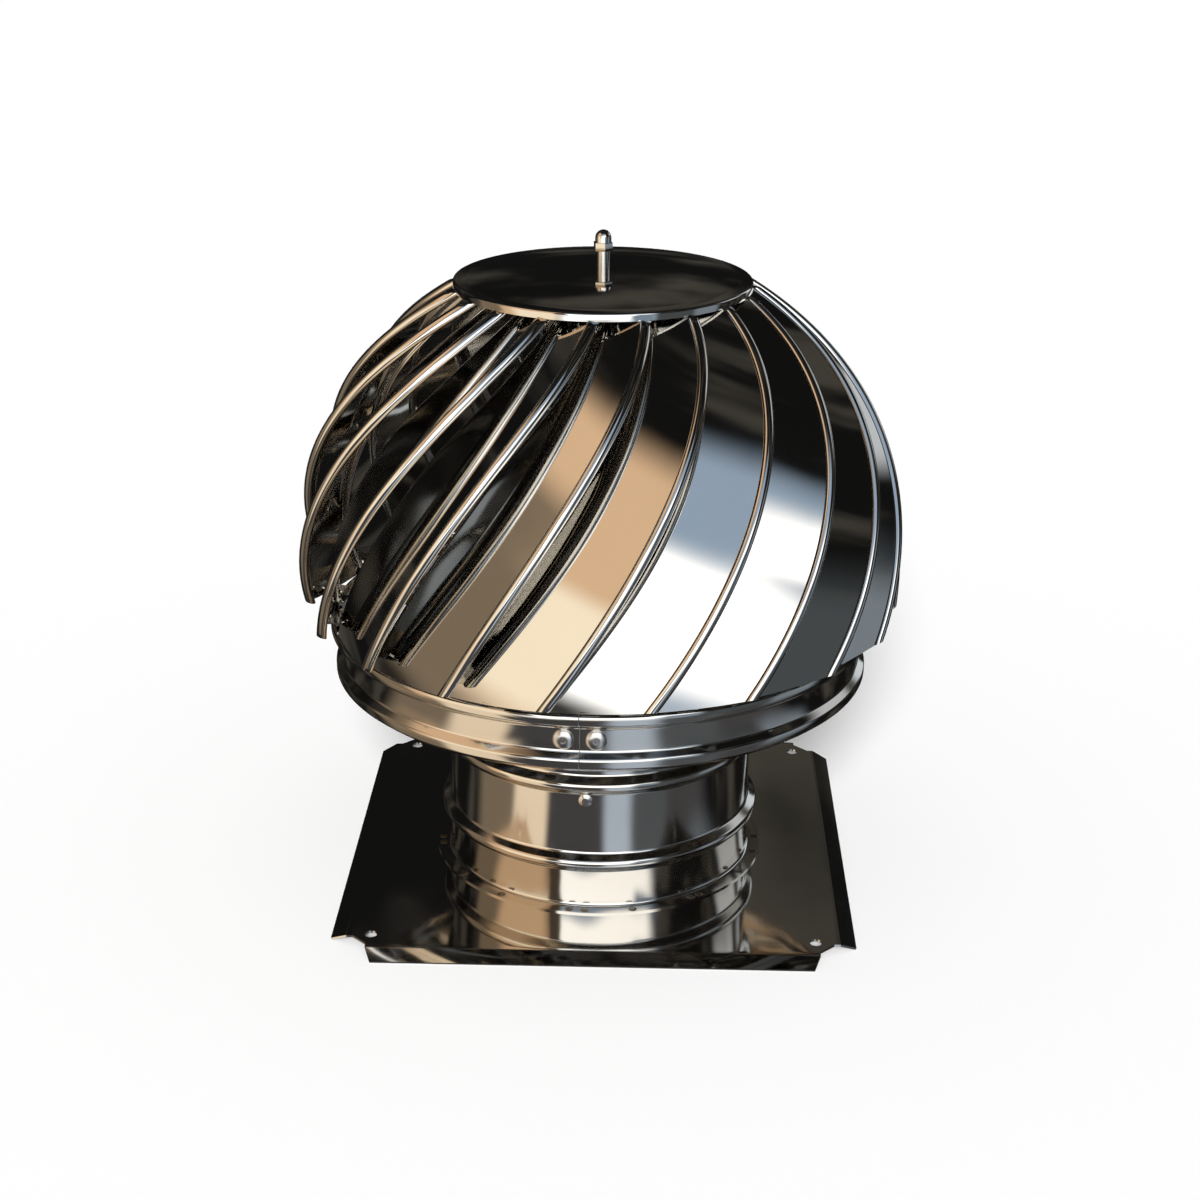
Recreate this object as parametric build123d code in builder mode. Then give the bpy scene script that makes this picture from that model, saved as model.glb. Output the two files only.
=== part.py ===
"""Roof turbine ventilator: a wind-driven rotor of slanted blades on a square flashing plate.

Millimetres, +Z up. The origin is on the rotor's axis, level with the bottom edge of the
plate's drip lips. The plate, throat and bearing tube stand still; the rotor turns about +Z.
"""

from build123d import *

import os
from math import atan, cos, degrees, radians, sin, sqrt

# ---------------------------------------------------------------- flashing plate and throat
PLATE_SIDE = 231.0          # flat part of the plate, between the folds of its drip lips
PLATE_SHEET = 1.0
CORNER_CUT = 10.0           # chamfer of the plate's corners
LIP_OUT = 7.6               # how far a drip lip flares out past its fold
LIP_DROP = 3.4              # how far it falls below the plate's underside
LIP_TAPER = 3.0             # how much shorter a lip is at its outer edge, each end
ANCHOR_PITCH = 208.0        # square pattern of the four roof screws
ANCHOR_HOLE = 6.0

THROAT_OD = 150.0           # nominal duct size
THROAT_SHEET = 0.8
THROAT_HEIGHT = 108.0       # above the plate's top face
FOOT_FLANGE = 7.0           # width of the throat's turned-out foot
BEAD_HEIGHTS = (24.5, 65.0) # middles of the two swaged beads, above the plate's top face
BEAD_HALF, BEAD_CREST = 4.6, 1.6    # half of a bead's height, at its foot and at its crest
BEAD_OUT = 4.0              # how far a bead stands proud of the pipe
BEAD_OUTLINE = ((-BEAD_HALF, 0), (-BEAD_CREST, BEAD_OUT), (BEAD_CREST, BEAD_OUT), (BEAD_HALF, 0))

# ---------------------------------------------------------------- rotor
HEAD_RADIUS = 145.5         # sphere that the blades' outer edges run on
HEAD_CENTRE = 158.5         # its centre above the plate's top face
BLADE_COUNT = 19
BLADE_SHEET = 0.7
EDGE_START = -91.0          # azimuth of one blade's outer edge at the sphere's equator, degrees
EDGE_SWEEP = 0.63           # degrees of azimuth gained per degree of latitude
EDGE_LOW, EDGE_MID, EDGE_HIGH = -12.0, 25.0, 61.0   # latitudes that set the bend of a blade
BLADE_SLANT = 35.8          # how steeply a blade dives inwards from its outer edge, degrees
BLADE_SKEW = 11.5           # turn of the bend lines along the outer edge, degrees
SLIT = 6.0                  # open width between a blade's inner edge and the next outer edge
SLIT_TOP, SLIT_FOOT = 24.0, -4.0    # latitudes where it starts to close, above and below
SLIT_FADE = 22.0            # latitude over which it closes
TOP_OVERLAP, FOOT_OVERLAP = 1.0, 10.0   # how far the sheet then passes under the next edge
HEM_WIDTH = 4.5             # width of the folded hem along the outer edge
HEM_SHEET = 1.6             # thickness of the sheet and the hem folded on to it
STRIP_REACH = 1.1           # bent strip either side of its middle before trimming, over the head radius
EDGE_STATIONS = tuple(range(-36, 73, 18))   # latitudes where both edges are laid off
TIP_RISE = 7.1              # height of a blade's lower tip over the ring's ledge
TAB_SHEET = 0.7             # a blade's tabs, under the disc and on the ring's ledge
TAB_WIDTH, TAB_DEPTH = 8.0, 7.0     # along the sheet's cut end, and inwards from it

TIP_OVERHANG = 10.3238      # how far the blades' tips stand out past the ring's rim
BAND_INSET = 5.3            # recessed band of the ring, inside its rim
LOWER_INSET = 2.0           # lower bead of the ring, inside its rim
RING_SHEET = 0.8
RING_TOP = 126.0            # top of the ring's ledge above the plate's top face
RING_HEIGHT = 29.0
LEDGE_WIDTH = 13.0          # ledge that carries the blades' feet, inwards from the rim
RIM_ROUND = 2.0             # how far inside the rim the ledge starts to turn down
RIM_LEVELS = (1.8, 5.0, 8.4)        # rounded over, straight and back at the band, below the ledge
LOWER_LEVELS = (19.6, 22.4, 26.4)   # out of the band, crest of the lower bead and its lower edge
SEAM_AZIMUTH = -92.6        # butt joint of the ring
SEAM_GAP = 0.4
SPLICE_LENGTH = 32.0
RIVET_PITCH = 14.6
RIVET_HEAD, RIVET_HEAD_HEIGHT = 9.5, 1.7
RIVET_SHANK = 4.8

DISC_RADIUS = 69.6
DISC_SHEET = 0.8
DISC_LIP = 3.0              # height of the disc's turned-down edge
DISC_EDGE_CUT = 1.2
DISC_CROWN = 4.8            # rise of the disc's middle over its edge
DISC_SHOULDER = (38.0, 2.9) # radius and rise where the crown eases
DISC_FLAT = 21.0            # radius of the flat middle that the hub sits under
TAB_COVER = 2.9             # how far inside the disc's edge the blades' hems end
DISC_BAND = 54.0            # inner radius of the flat band that the tabs are fixed to

# ---------------------------------------------------------------- axle and bearings
SHAFT_D = 8.0
STUD_D = 6.0                # reduced end of the shaft, through the disc
STUD_HEIGHT = 8.0           # plain stud above the disc
CAP_AF, CAP_HEIGHT, CAP_DOME_D = 8.0, 9.6, 7.5
THREAD_D = 5.0
BEARING_OD, BEARING_WIDTH = 22.0, 7.0
RACE_SHEET = 2.2            # radial thickness of an outer or inner ring
SHIELD_SHEET = 0.4
TUBE_OD = 27.0
TUBE_LENGTH = 84.0
TUBE_BORE = 18.0            # bore between the two bearing seats
TUBE_BOTTOM = 34.0          # underside of the bearing tube above the plate's top face
NUT_SPACE = 11.0            # axle left below the bearing tube for its washer and nut
NUT_AF, NUT_HEIGHT = 13.0, 6.5
WASHER_SHEET = 1.6
COLLAR_D, COLLAR_HEIGHT, COLLAR_STEP = 18.0, 9.0, 0.8
HUB_D, HUB_HEIGHT = 18.0, 16.0
HUB_FLANGE_D, HUB_FLANGE_SHEET = 40.0, 2.5
AXLE_CHAMFER = 0.8
THREAD_REACH = 6.5          # threaded end inside the cap nut
CAP_HEX_HEIGHT = 4.0
CAP_DOME_STATIONS = (0, 40, 75)     # degrees up the dome
ARM_COUNT = 3
ARM_AZIMUTH = -101.0
ARM_SHEET, ARM_HEIGHT = 2.0, 20.0
ARM_FOOT = 16.0             # length of the bent foot against the throat's wall
ARM_LEVEL = 57.0            # middle of the arms above the plate's top face
ARM_RIVET_PLACE = 0.6      # where the rivet sits along the foot, as a share of its length
ARM_RIVET_HEAD, ARM_RIVET_HEAD_HEIGHT, ARM_RIVET_SHANK = 6.4, 1.2, 3.2

# ---------------------------------------------------------------- named clearances
PRESS_GAP = 0.02            # between parts of one body that are pressed together
RUNNING_GAP = 0.05          # radial, between a ring that stands and one that turns
SEAT_GAP = 0.1              # between curved sheets of one body that lie on each other

# ---------------------------------------------------------------- levels and radii from these
plate_top = LIP_DROP + PLATE_SHEET
throat_outer = THROAT_OD / 2
throat_inner = throat_outer - THROAT_SHEET
head_centre = plate_top + HEAD_CENTRE
ring_top = plate_top + RING_TOP
ring_bottom = ring_top - RING_HEIGHT
rim_radius = sqrt(HEAD_RADIUS**2 - (HEAD_CENTRE - RING_TOP) ** 2) - TIP_OVERHANG
band_radius = rim_radius - BAND_INSET
lower_radius = rim_radius - LOWER_INSET
ledge_inner = rim_radius - LEDGE_WIDTH
strip_reach = HEAD_RADIUS * STRIP_REACH
hem_end_radius = DISC_RADIUS - TAB_COVER
blade_top = head_centre + sqrt(HEAD_RADIUS**2 - hem_end_radius**2)
disc_under = blade_top + TAB_SHEET
disc_top = disc_under + DISC_SHEET
tube_bottom = plate_top + TUBE_BOTTOM
tube_top = tube_bottom + TUBE_LENGTH
arm_level = plate_top + ARM_LEVEL
pitch_angle = 360 / BLADE_COUNT

os.makedirs("parts", exist_ok=True)


def finish(builder, name):
    """Labels a finished piece and writes it to its own STEP file."""
    builder.part.label = name
    export_step(builder.part, f"parts/{name}.step")


def radial_plane(azimuth, radius, height):
    """Plane on a wall of revolution, its Z pointing out of the wall and its Y up."""
    out = Vector(cos(radians(azimuth)), sin(radians(azimuth)), 0)
    return Plane(origin=out * radius + Vector(0, 0, height), x_dir=Vector(0, 0, 1).cross(out), z_dir=out)


def arm_rivet_planes(radius):
    """Planes of the rivets that hold the spider's feet, on a wall of the given radius."""
    step = 360 / ARM_COUNT
    first = ARM_AZIMUTH + degrees(ARM_FOOT / throat_inner) * ARM_RIVET_PLACE
    return [radial_plane(first + index * step, radius, arm_level) for index in range(ARM_COUNT)]


# ================================================================ flashing plate
half_side = PLATE_SIDE / 2
lip_half = half_side - CORNER_CUT

with BuildPart() as base_plate:
    with BuildSketch(Plane.XY.offset(LIP_DROP)) as flat:
        Rectangle(PLATE_SIDE, PLATE_SIDE)
        chamfer(flat.vertices(), CORNER_CUT)
        Circle(throat_inner, mode=Mode.SUBTRACT)
        with GridLocations(ANCHOR_PITCH, ANCHOR_PITCH, 2, 2):
            Circle(ANCHOR_HOLE / 2, mode=Mode.SUBTRACT)
    extrude(amount=PLATE_SHEET)
    with BuildSketch(Plane.XZ.offset(-lip_half)):
        Polygon(
            (half_side, LIP_DROP),
            (half_side + LIP_OUT, 0),
            (half_side + LIP_OUT, PLATE_SHEET),
            (half_side, plate_top),
            align=None,
        )
    lip = extrude(amount=2 * lip_half, mode=Mode.PRIVATE)
    with BuildSketch(Plane.XY) as lip_outline:
        Polygon(
            (half_side, -lip_half),
            (half_side + LIP_OUT, LIP_TAPER - lip_half),
            (half_side + LIP_OUT, lip_half - LIP_TAPER),
            (half_side, lip_half),
            align=None,
        )
    trimmed_lip = lip.intersect(extrude(amount=plate_top, mode=Mode.PRIVATE))
    with PolarLocations(0, 4):
        add(trimmed_lip)
finish(base_plate, "base_plate")

# ================================================================ throat pipe
# One sheet: turned-out foot, two swaged beads and a plain upper end inside the ring.
foot_level = plate_top + THROAT_SHEET

with BuildPart() as throat_pipe:
    with BuildSketch(Plane.XZ):
        with BuildLine():
            outside = [(throat_outer + FOOT_FLANGE, foot_level), (throat_outer, foot_level)]
            for bead in BEAD_HEIGHTS:
                for rise, stand in BEAD_OUTLINE:
                    outside.append((throat_outer + stand, plate_top + bead + rise))
            Polyline(*outside, (throat_outer, plate_top + THROAT_HEIGHT))
            offset(amount=THROAT_SHEET, side=Side.LEFT, kind=Kind.INTERSECTION)
        make_face()
    revolve(axis=Axis.Z)
    with Locations(*arm_rivet_planes(throat_outer)):
        Hole(ARM_RIVET_SHANK / 2 + PRESS_GAP, depth=THROAT_SHEET * 3)
finish(throat_pipe, "throat_pipe")

# ================================================================ spider and bearing tube
bearing_radius = BEARING_OD / 2
tube_radius = TUBE_OD / 2
seat_radius = bearing_radius + PRESS_GAP

with BuildPart() as bearing_tube:
    with BuildSketch(Plane.XY.offset(tube_bottom)):
        Circle(tube_radius)
        Circle(TUBE_BORE / 2, mode=Mode.SUBTRACT)
    extrude(amount=TUBE_LENGTH)
    with BuildSketch(Plane.XY.offset(tube_bottom)):
        Circle(seat_radius)
    extrude(amount=BEARING_WIDTH, mode=Mode.SUBTRACT)
    with BuildSketch(Plane.XY.offset(tube_top)):
        Circle(seat_radius)
    extrude(amount=-BEARING_WIDTH, mode=Mode.SUBTRACT)
finish(bearing_tube, "bearing_tube")

foot_outer = throat_inner - SEAT_GAP
foot_inner = foot_outer - ARM_SHEET
foot_angle = degrees(ARM_FOOT / throat_inner)
rivet_planes = arm_rivet_planes(foot_outer)

for index in range(ARM_COUNT):
    azimuth = ARM_AZIMUTH + index * 360 / ARM_COUNT
    with BuildPart() as spider_arm:
        with BuildSketch(Plane.XY.offset(arm_level - ARM_HEIGHT / 2).rotated((0, 0, azimuth))):
            with Locations((tube_radius + PRESS_GAP, -ARM_SHEET / 2)):
                Rectangle(foot_outer - tube_radius - 1, ARM_SHEET, align=(Align.MIN, Align.MIN))
            with BuildLine():
                inner = CenterArc((0, 0), foot_inner, 0, foot_angle)
                outer = CenterArc((0, 0), foot_outer, 0, foot_angle)
                Line(inner @ 0, outer @ 0)
                Line(inner @ 1, outer @ 1)
            make_face()
        extrude(amount=ARM_HEIGHT)
        with Locations(rivet_planes[index]):
            Hole(ARM_RIVET_SHANK / 2 + PRESS_GAP, depth=ARM_SHEET * 2)
    finish(spider_arm, f"spider_arm_{index + 1}")


def set_rivet(head_diameter, head_height, shank_diameter, grip):
    """A set rivet: domed head above zero, shank and set end below it."""
    head, shank = head_diameter / 2, shank_diameter / 2
    with BuildPart() as rivet:
        with BuildSketch(Plane.XZ):
            with BuildLine():
                Polyline(
                    (0, head_height),
                    (head * 0.5, head_height),
                    (head, head_height * 0.4),
                    (head, 0),
                    (shank, 0),
                    (shank, -grip - shank),
                    (0, -grip - shank),
                    close=True,
                )
            make_face()
        revolve(axis=Axis.Z)
    return rivet.part


arm_rivet = set_rivet(
    ARM_RIVET_HEAD, ARM_RIVET_HEAD_HEIGHT, ARM_RIVET_SHANK, THROAT_SHEET + SEAT_GAP + ARM_SHEET
)
with BuildPart() as spider_rivets:
    for plane in arm_rivet_planes(throat_outer):
        add(plane * arm_rivet)
finish(spider_rivets, "spider_rivets")

# ================================================================ bearings
# Each bearing is an outer ring with its outward shield in the tube and an inner ring on the axle.
shaft_radius = SHAFT_D / 2
bearing_floors = (tube_bottom, tube_top - BEARING_WIDTH)
inner_ring_bore = shaft_radius + PRESS_GAP
inner_ring_outer = shaft_radius + RACE_SHEET
outer_ring_inner = bearing_radius - RACE_SHEET

with BuildPart() as bearing_outer_rings:
    for floor in bearing_floors:
        with BuildSketch(Plane.XY.offset(floor)):
            Circle(bearing_radius)
            Circle(outer_ring_inner, mode=Mode.SUBTRACT)
        extrude(amount=BEARING_WIDTH)
        shield_level = floor if floor == tube_bottom else floor + BEARING_WIDTH - SHIELD_SHEET
        with BuildSketch(Plane.XY.offset(shield_level)):
            Circle(outer_ring_inner)
            Circle(inner_ring_outer + RUNNING_GAP, mode=Mode.SUBTRACT)
        extrude(amount=SHIELD_SHEET)
finish(bearing_outer_rings, "bearing_outer_rings")

with BuildPart() as bearing_inner_rings:
    for floor in bearing_floors:
        with BuildSketch(Plane.XY.offset(floor)):
            Circle(inner_ring_outer)
            Circle(inner_ring_bore, mode=Mode.SUBTRACT)
        extrude(amount=BEARING_WIDTH)
finish(bearing_inner_rings, "bearing_inner_rings")

# ================================================================ axle
crown_under = disc_under + DISC_CROWN
crown_top = crown_under + DISC_SHEET
shaft_bottom = tube_bottom - NUT_SPACE
stud_top = crown_top + STUD_HEIGHT

with BuildPart() as axle:
    with BuildSketch(Plane.XZ):
        with BuildLine():
            Polyline(
                (0, shaft_bottom),
                (shaft_radius - AXLE_CHAMFER, shaft_bottom),
                (shaft_radius, shaft_bottom + AXLE_CHAMFER),
                (shaft_radius, crown_under),
                (STUD_D / 2, crown_under),
                (STUD_D / 2, stud_top),
                (THREAD_D / 2, stud_top),
                (THREAD_D / 2, stud_top + THREAD_REACH),
                (0, stud_top + THREAD_REACH),
                close=True,
            )
        make_face()
    revolve(axis=Axis.Z)
finish(axle, "axle")

# Cap nut on the axle's top end: hexagon, collar and dome, bored for the thread.
with BuildPart() as cap_nut:
    with BuildSketch(Plane.XY.offset(stud_top)):
        RegularPolygon(CAP_AF / 2, 6, major_radius=False)
    extrude(amount=CAP_HEX_HEIGHT)
    with BuildSketch(Plane.XZ):
        with BuildLine():
            dome_radius = CAP_DOME_D / 2
            dome_start = stud_top + CAP_HEIGHT - dome_radius
            dome = [
                (dome_radius * cos(radians(rise)), dome_start + dome_radius * sin(radians(rise)))
                for rise in CAP_DOME_STATIONS
            ]
            Polyline(
                (0, stud_top),
                (dome_radius, stud_top),
                *dome,
                (0, stud_top + CAP_HEIGHT),
                close=True,
            )
        make_face()
    revolve(axis=Axis.Z)
    with BuildSketch(Plane.XY.offset(stud_top)):
        Circle(THREAD_D / 2 + PRESS_GAP)
    extrude(amount=THREAD_REACH + SEAT_GAP, mode=Mode.SUBTRACT)
finish(cap_nut, "cap_nut")

# Collar pressed on the axle: it hangs the rotor on the upper inner ring.
with BuildPart() as thrust_collar:
    with BuildSketch(Plane.XY.offset(tube_top + COLLAR_STEP)):
        Circle(COLLAR_D / 2)
    extrude(amount=COLLAR_HEIGHT)
    with BuildSketch(Plane.XY.offset(tube_top)):
        Circle(inner_ring_outer - RUNNING_GAP)
    extrude(amount=COLLAR_STEP)
    with BuildSketch(Plane.XY.offset(tube_top)):
        Circle(shaft_radius + PRESS_GAP)
    extrude(amount=COLLAR_STEP + COLLAR_HEIGHT, mode=Mode.SUBTRACT)
finish(thrust_collar, "thrust_collar")

# Nut and washer under the lower inner ring keep the rotor from lifting.
with BuildPart() as lower_washer:
    with BuildSketch(Plane.XY.offset(tube_bottom - WASHER_SHEET)):
        Circle(inner_ring_outer - RUNNING_GAP)
        Circle(shaft_radius + PRESS_GAP, mode=Mode.SUBTRACT)
    extrude(amount=WASHER_SHEET)
finish(lower_washer, "lower_washer")

with BuildPart() as lock_nut:
    with BuildSketch(Plane.XY.offset(tube_bottom - WASHER_SHEET - NUT_HEIGHT)):
        RegularPolygon(NUT_AF / 2, 6, major_radius=False)
        Circle(shaft_radius + PRESS_GAP, mode=Mode.SUBTRACT)
    extrude(amount=NUT_HEIGHT)
finish(lock_nut, "lock_nut")

# ================================================================ top disc and hub
with BuildPart() as top_disc:
    with BuildSketch(Plane.XZ):
        with BuildLine():
            Polyline(
                (DISC_RADIUS, disc_under - DISC_LIP),
                (DISC_RADIUS, disc_top - DISC_EDGE_CUT),
                (DISC_RADIUS - DISC_EDGE_CUT, disc_top),
                (DISC_BAND, disc_top),
                (DISC_SHOULDER[0], disc_top + DISC_SHOULDER[1]),
                (DISC_FLAT, crown_top),
                (STUD_D / 2 + PRESS_GAP, crown_top),
            )
            offset(amount=DISC_SHEET, side=Side.LEFT, kind=Kind.INTERSECTION)
        make_face()
    revolve(axis=Axis.Z)
finish(top_disc, "top_disc")

with BuildPart() as hub_flange:
    with BuildSketch(Plane.XZ):
        with BuildLine():
            bore = shaft_radius + PRESS_GAP
            Polyline(
                (bore, crown_under),
                (HUB_FLANGE_D / 2, crown_under),
                (HUB_FLANGE_D / 2, crown_under - HUB_FLANGE_SHEET),
                (HUB_D / 2, crown_under - HUB_FLANGE_SHEET),
                (HUB_D / 2, crown_under - HUB_HEIGHT),
                (bore, crown_under - HUB_HEIGHT),
                close=True,
            )
        make_face()
    revolve(axis=Axis.Z)
finish(hub_flange, "hub_flange")

# ================================================================ ring
# One rolled strip: ledge under the blades, rim, recessed band and lower bead, closed by a seam.
ring_sheet_edge = [
    (ledge_inner, ring_top),
    (rim_radius - RIM_ROUND, ring_top),
    (rim_radius, ring_top - RIM_LEVELS[0]),
    (rim_radius, ring_top - RIM_LEVELS[1]),
    (band_radius, ring_top - RIM_LEVELS[2]),
    (band_radius, ring_top - LOWER_LEVELS[0]),
    (lower_radius, ring_top - LOWER_LEVELS[1]),
    (lower_radius, ring_top - LOWER_LEVELS[2]),
    (band_radius, ring_bottom),
]
rivet_step = degrees(RIVET_PITCH / band_radius)
rivet_level = ring_top - (RIM_LEVELS[2] + LOWER_LEVELS[0]) / 2
ring_rivet_planes = [
    radial_plane(SEAM_AZIMUTH + side * rivet_step / 2, band_radius, rivet_level) for side in (-1, 1)
]
rivet_hole = RIVET_SHANK / 2 + PRESS_GAP

with BuildPart() as ring_band:
    with BuildSketch(Plane.XZ):
        with BuildLine():
            Polyline(*ring_sheet_edge)
            offset(amount=RING_SHEET, side=Side.RIGHT, kind=Kind.INTERSECTION)
        make_face()
    revolve(axis=Axis.Z)
    with BuildSketch(Plane.XY.offset(ring_bottom).rotated((0, 0, SEAM_AZIMUTH))):
        with Locations((rim_radius, 0)):
            Rectangle(4 * LEDGE_WIDTH, SEAM_GAP)
    extrude(amount=RING_HEIGHT, mode=Mode.SUBTRACT)
    with Locations(*ring_rivet_planes):
        Hole(rivet_hole, depth=RING_SHEET * 3)
finish(ring_band, "ring_band")

# Strap behind the seam, held by the two rivets.
splice_outer = band_radius - RING_SHEET - SEAT_GAP
splice_angle = degrees(SPLICE_LENGTH / band_radius)

with BuildPart() as ring_splice:
    with BuildSketch(Plane.XY.offset(ring_top - LOWER_LEVELS[0])):
        with BuildLine():
            face = CenterArc((0, 0), splice_outer, SEAM_AZIMUTH - splice_angle / 2, splice_angle)
            back = CenterArc(
                (0, 0), splice_outer - RING_SHEET, SEAM_AZIMUTH - splice_angle / 2, splice_angle
            )
            Line(face @ 0, back @ 0)
            Line(face @ 1, back @ 1)
        make_face()
    extrude(amount=LOWER_LEVELS[0] - RIM_LEVELS[2])
    with Locations(*ring_rivet_planes):
        Hole(rivet_hole, depth=RING_SHEET * 6)
finish(ring_splice, "ring_splice")

ring_rivet = set_rivet(RIVET_HEAD, RIVET_HEAD_HEIGHT, RIVET_SHANK, 2 * RING_SHEET + SEAT_GAP)
with BuildPart() as ring_rivets:
    for plane in ring_rivet_planes:
        add(plane * ring_rivet)
finish(ring_rivets, "ring_rivets")

# ================================================================ blades
# Each blade is a flat strip bent round one arc, so its surface is part of a cylinder. The
# cylinder is laid through three points of the outer edge, and the sphere trims that edge.


def edge_frame(latitude, azimuth=EDGE_START):
    """Point of a blade's outer edge with its outward, along-edge and across directions."""
    lat = radians(latitude)
    turn = radians(azimuth + EDGE_SWEEP * latitude)
    outward = Vector(cos(lat) * cos(turn), cos(lat) * sin(turn), sin(lat))
    along = Vector(
        -sin(lat) * cos(turn) - EDGE_SWEEP * cos(lat) * sin(turn),
        -sin(lat) * sin(turn) + EDGE_SWEEP * cos(lat) * cos(turn),
        cos(lat),
    ).normalized()
    return outward * HEAD_RADIUS + Vector(0, 0, head_centre), outward, along, outward.cross(along)


def ramp(value):
    """Zero below zero, one above one, and the value itself in between."""
    return min(max(value, 0), 1)


def slit_width(latitude):
    """Open width of the slit: full along the middle, closed by overlap at both ends."""
    top = ramp((latitude - SLIT_TOP) / SLIT_FADE) * (SLIT + TOP_OVERLAP)
    foot = ramp((SLIT_FOOT - latitude) / SLIT_FADE) * (SLIT + FOOT_OVERLAP)
    return SLIT - top - foot


def blade_width(latitude):
    """Width of the sheet across the outer edge, up to the slit before the next blade."""
    lat = radians(latitude)
    pitch = HEAD_RADIUS * cos(lat) * radians(pitch_angle) * cos(atan(EDGE_SWEEP * cos(lat)))
    return pitch - slit_width(latitude)


mid_point, mid_out, mid_along, mid_inward = edge_frame(EDGE_MID)
slant, skew = radians(BLADE_SLANT), radians(BLADE_SKEW)
bend_line = (mid_inward * cos(slant) - mid_out * sin(slant)) * cos(skew) + mid_along * sin(skew)
bend_plane = Plane(origin=mid_point, x_dir=mid_along - bend_line * mid_along.dot(bend_line), z_dir=bend_line)
sheet_face = bend_line.cross(mid_along).normalized()
outline_plane = Plane(origin=mid_point, x_dir=mid_along, z_dir=sheet_face)


def laid_off(latitude, share):
    """Point of the sheet's outline, a distance in from its outer edge, in the outline's plane."""
    point, outward, along, inward = edge_frame(latitude)
    across = (bend_line - along * bend_line.dot(along)).normalized()
    local = outline_plane.to_local_coords(point + across * share)
    return local.X, local.Y


bend = ThreePointArc(
    *(
        Vector(local.X, local.Y)
        for local in (
            bend_plane.to_local_coords(edge_frame(latitude)[0])
            for latitude in (EDGE_LOW, EDGE_MID, EDGE_HIGH)
        )
    )
)


def bent_strip(start, stop, near, far):
    """Sheet between two distances from its outer edge and two from the bend's middle surface."""
    with BuildPart() as strip:
        with BuildSketch(bend_plane):
            with Locations(bend.arc_center):
                Circle(bend.radius + far)
                Circle(bend.radius + near, mode=Mode.SUBTRACT)
        extrude(amount=strip_reach, both=True)
        with BuildSketch(outline_plane):
            with BuildLine():
                outer = Spline(*(laid_off(latitude, start(latitude)) for latitude in EDGE_STATIONS))
                inner = Spline(*(laid_off(latitude, stop(latitude)) for latitude in EDGE_STATIONS))
                Line(outer @ 0, inner @ 0)
                Line(outer @ 1, inner @ 1)
            make_face()
        extrude(amount=strip_reach, both=True, mode=Mode.INTERSECT)
    return strip.part


def end_tab(end_face, level):
    """Tab bent inwards from a cut end of the sheet, flat on a level."""
    middle = end_face.center()
    cut = end_face.edges().sort_by(SortBy.LENGTH)[-1]
    along = (cut @ 1 - cut @ 0).normalized() * (TAB_WIDTH / 2)
    inward = Vector(0, 0, TAB_DEPTH).cross(along.normalized())
    if inward.dot(middle) > 0:
        inward = -inward
    corners = (middle - along, middle + along, middle + along + inward, middle - along + inward)
    with BuildPart() as tab:
        with BuildSketch(Plane.XY.offset(level)):
            Polygon(*((corner.X, corner.Y) for corner in corners), align=None)
        extrude(amount=TAB_SHEET)
    return tab.part


half_sheet = BLADE_SHEET / 2
lip_clear = disc_under - DISC_LIP - SEAT_GAP
lip_inner = DISC_RADIUS - DISC_SHEET - SEAT_GAP


with BuildPart() as blade:
    add(bent_strip(lambda latitude: 0, blade_width, -half_sheet, HEM_SHEET - half_sheet))
    past_hem = bent_strip(
        lambda latitude: HEM_WIDTH,
        lambda latitude: blade_width(latitude) + HEM_WIDTH,
        half_sheet,
        HEM_SHEET,
    )
    add(past_hem, mode=Mode.SUBTRACT)
    with BuildSketch(Plane.XZ):
        with BuildLine():
            Polyline(
                (0, ring_top),
                (rim_radius - RIM_ROUND, ring_top),
                (HEAD_RADIUS * 1.1, ring_top + TIP_RISE),
                (HEAD_RADIUS * 1.1, lip_clear),
                (lip_inner, lip_clear),
                (lip_inner, blade_top),
                (0, blade_top),
                close=True,
            )
        make_face()
    revolve(axis=Axis.Z, mode=Mode.INTERSECT)
    faces = blade.faces().sort_by(Axis.Z)
    add(end_tab(faces[0], ring_top))
    add(end_tab(faces[-1], blade_top))

for index in range(BLADE_COUNT):
    with BuildPart() as turned_blade:
        add(blade.part.rotate(Axis.Z, index * pitch_angle))
    finish(turned_blade, f"blade_{index + 1:02d}")
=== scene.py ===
"""Looks of a roof turbine ventilator: bright stainless sheet, spun, rolled and folded.

Sizes are millimetres, in the part's own frame, and turn to metres where a mesh is made.
"""

import logging
from collections.abc import Callable
from dataclasses import dataclass, field
from enum import Enum
from math import acos, asin, atan, atan2, cos, degrees, hypot, pi, radians, sin, sqrt

import bmesh
import bpy
from mathutils import Matrix, Vector

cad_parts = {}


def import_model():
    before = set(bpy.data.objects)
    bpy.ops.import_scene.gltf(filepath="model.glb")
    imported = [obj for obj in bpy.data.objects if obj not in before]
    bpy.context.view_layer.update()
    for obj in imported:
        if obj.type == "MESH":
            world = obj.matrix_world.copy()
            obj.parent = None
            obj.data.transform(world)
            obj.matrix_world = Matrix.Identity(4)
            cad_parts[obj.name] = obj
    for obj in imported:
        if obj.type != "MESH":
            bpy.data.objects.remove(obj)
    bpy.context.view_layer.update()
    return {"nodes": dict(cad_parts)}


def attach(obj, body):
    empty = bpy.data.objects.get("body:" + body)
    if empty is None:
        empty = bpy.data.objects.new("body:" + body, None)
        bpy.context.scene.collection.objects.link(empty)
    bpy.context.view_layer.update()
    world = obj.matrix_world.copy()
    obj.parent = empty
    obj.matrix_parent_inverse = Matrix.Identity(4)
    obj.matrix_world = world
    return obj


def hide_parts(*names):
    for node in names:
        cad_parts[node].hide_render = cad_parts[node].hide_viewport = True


LOG = logging.getLogger("ventilator")
MM = 0.001
# Sockets of a colour Mix node: its two colour inputs and its result.
MIX_FIRST, MIX_SECOND, MIX_RESULT = 6, 7, 2
Profile = list[tuple[float, float]]


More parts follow.
